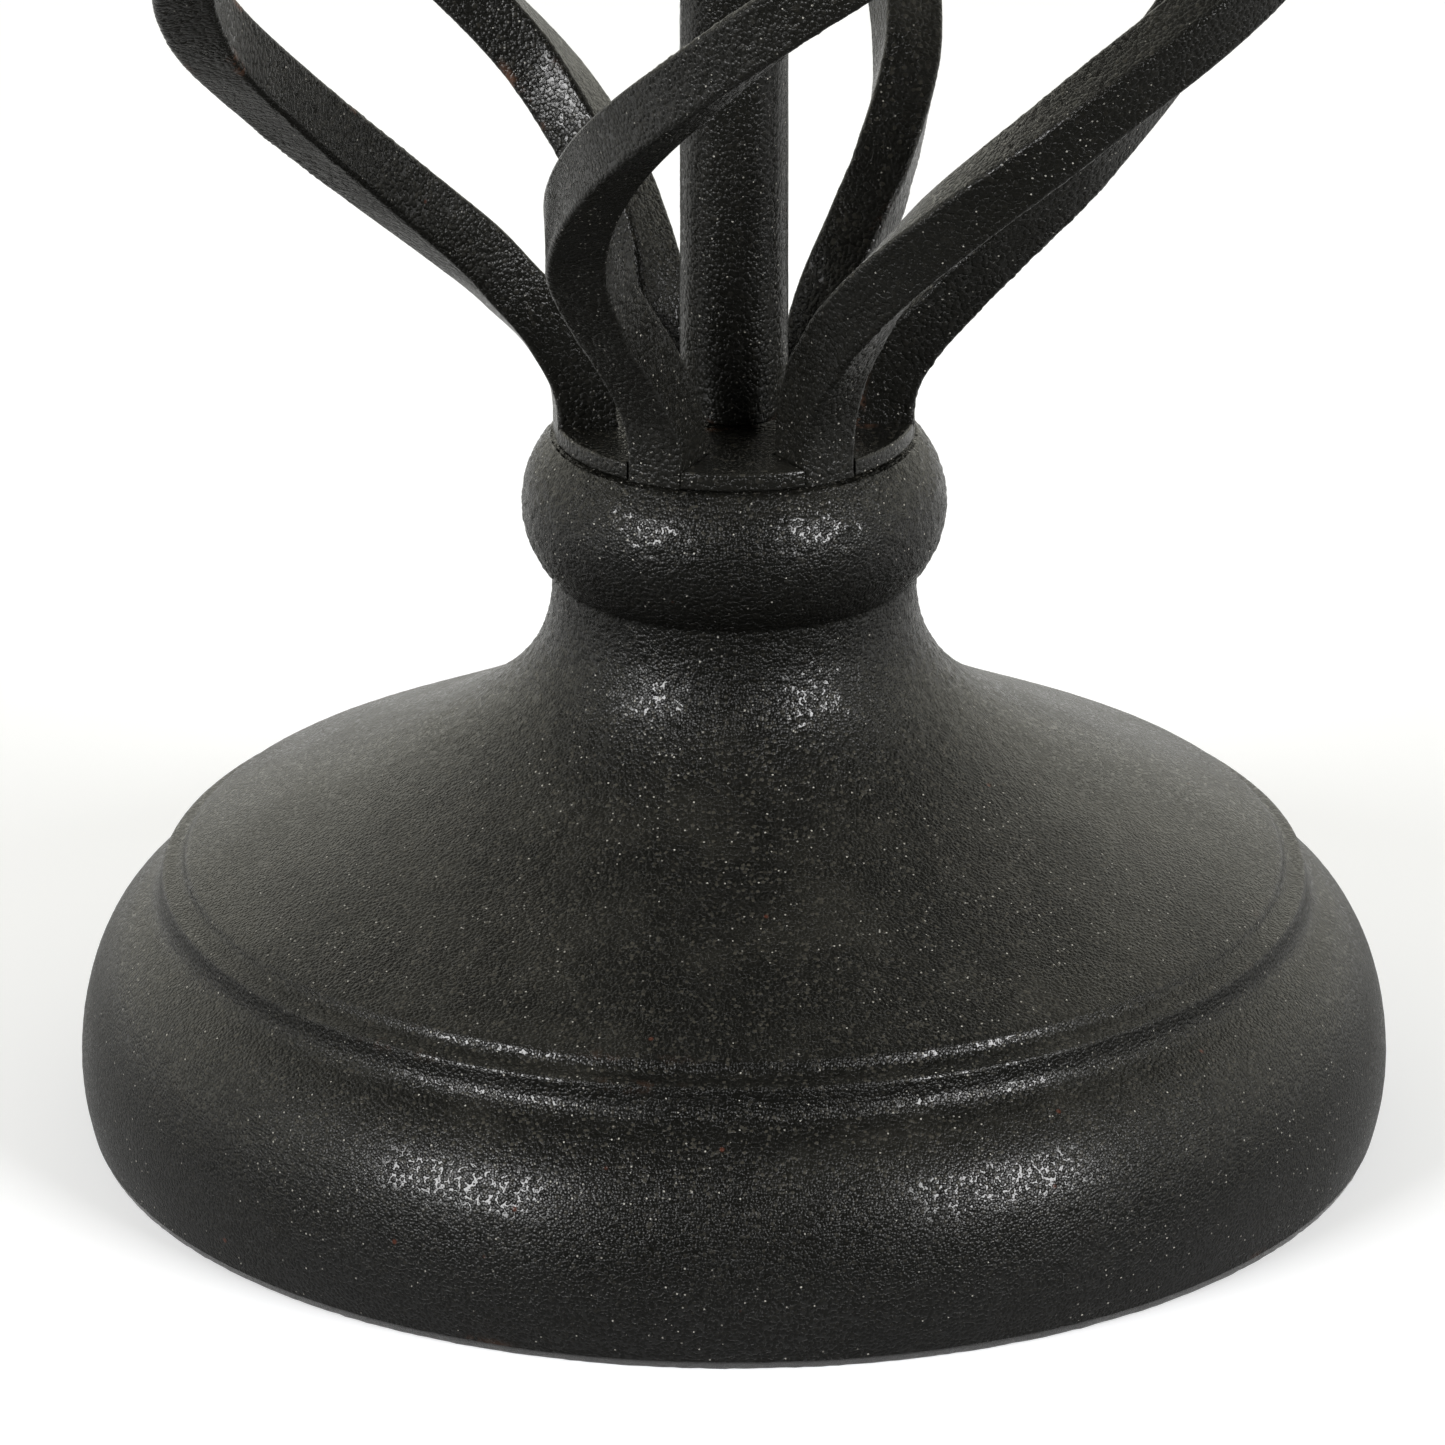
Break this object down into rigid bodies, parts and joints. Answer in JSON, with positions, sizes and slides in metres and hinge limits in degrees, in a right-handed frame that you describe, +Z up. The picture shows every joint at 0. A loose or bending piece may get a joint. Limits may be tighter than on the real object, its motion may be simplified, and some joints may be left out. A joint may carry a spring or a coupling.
{
  "type": "candelabrum",
  "caption": "Swirl candelabrum: square bars spiral up from a hub disc around a round stem, each with a drip pan and candle cup, on a heavy round domed base.",
  "frame": {"origin": "centre of the resting face, on the surface that the candelabrum stands on", "axes": "+Z up along the centre stem; +X to the right and +Y away when the candelabrum is seen from the front"},
  "size_m": [0.3614, 0.3534, 0.4681],
  "materials": {
    "cast_base": "black sand-textured powder coat over a casting",
    "black_bar": "black sand-textured powder coat, rubbed to copper brown on a few edges",
    "felt": "black wool felt",
    "fastener": "zinc plated"
  },
  "bodies": {
    "root": {"felt_ring": "felt", "base_shell": "cast_base", "base_washer": "fastener", "base_bolt": "fastener", "hub_disc": "black_bar", "centre_stem": "black_bar", "arm_1": "black_bar", "arm_2": "black_bar", "arm_3": "black_bar", "arm_4": "black_bar", "arm_5": "black_bar", "arm_6": "black_bar", "drip_pan_centre": "black_bar", "candle_cup_centre": "black_bar", "cup_screw_centre": "fastener", "drip_pan_1": "black_bar", "candle_cup_1": "black_bar", "cup_screw_1": "fastener", "drip_pan_2": "black_bar", "candle_cup_2": "black_bar", "cup_screw_2": "fastener", "drip_pan_3": "black_bar", "candle_cup_3": "black_bar", "cup_screw_3": "fastener", "drip_pan_4": "black_bar", "candle_cup_4": "black_bar", "cup_screw_4": "fastener", "drip_pan_5": "black_bar", "candle_cup_5": "black_bar", "cup_screw_5": "fastener", "drip_pan_6": "black_bar", "candle_cup_6": "black_bar", "cup_screw_6": "fastener"}
  },
  "joints": []
}
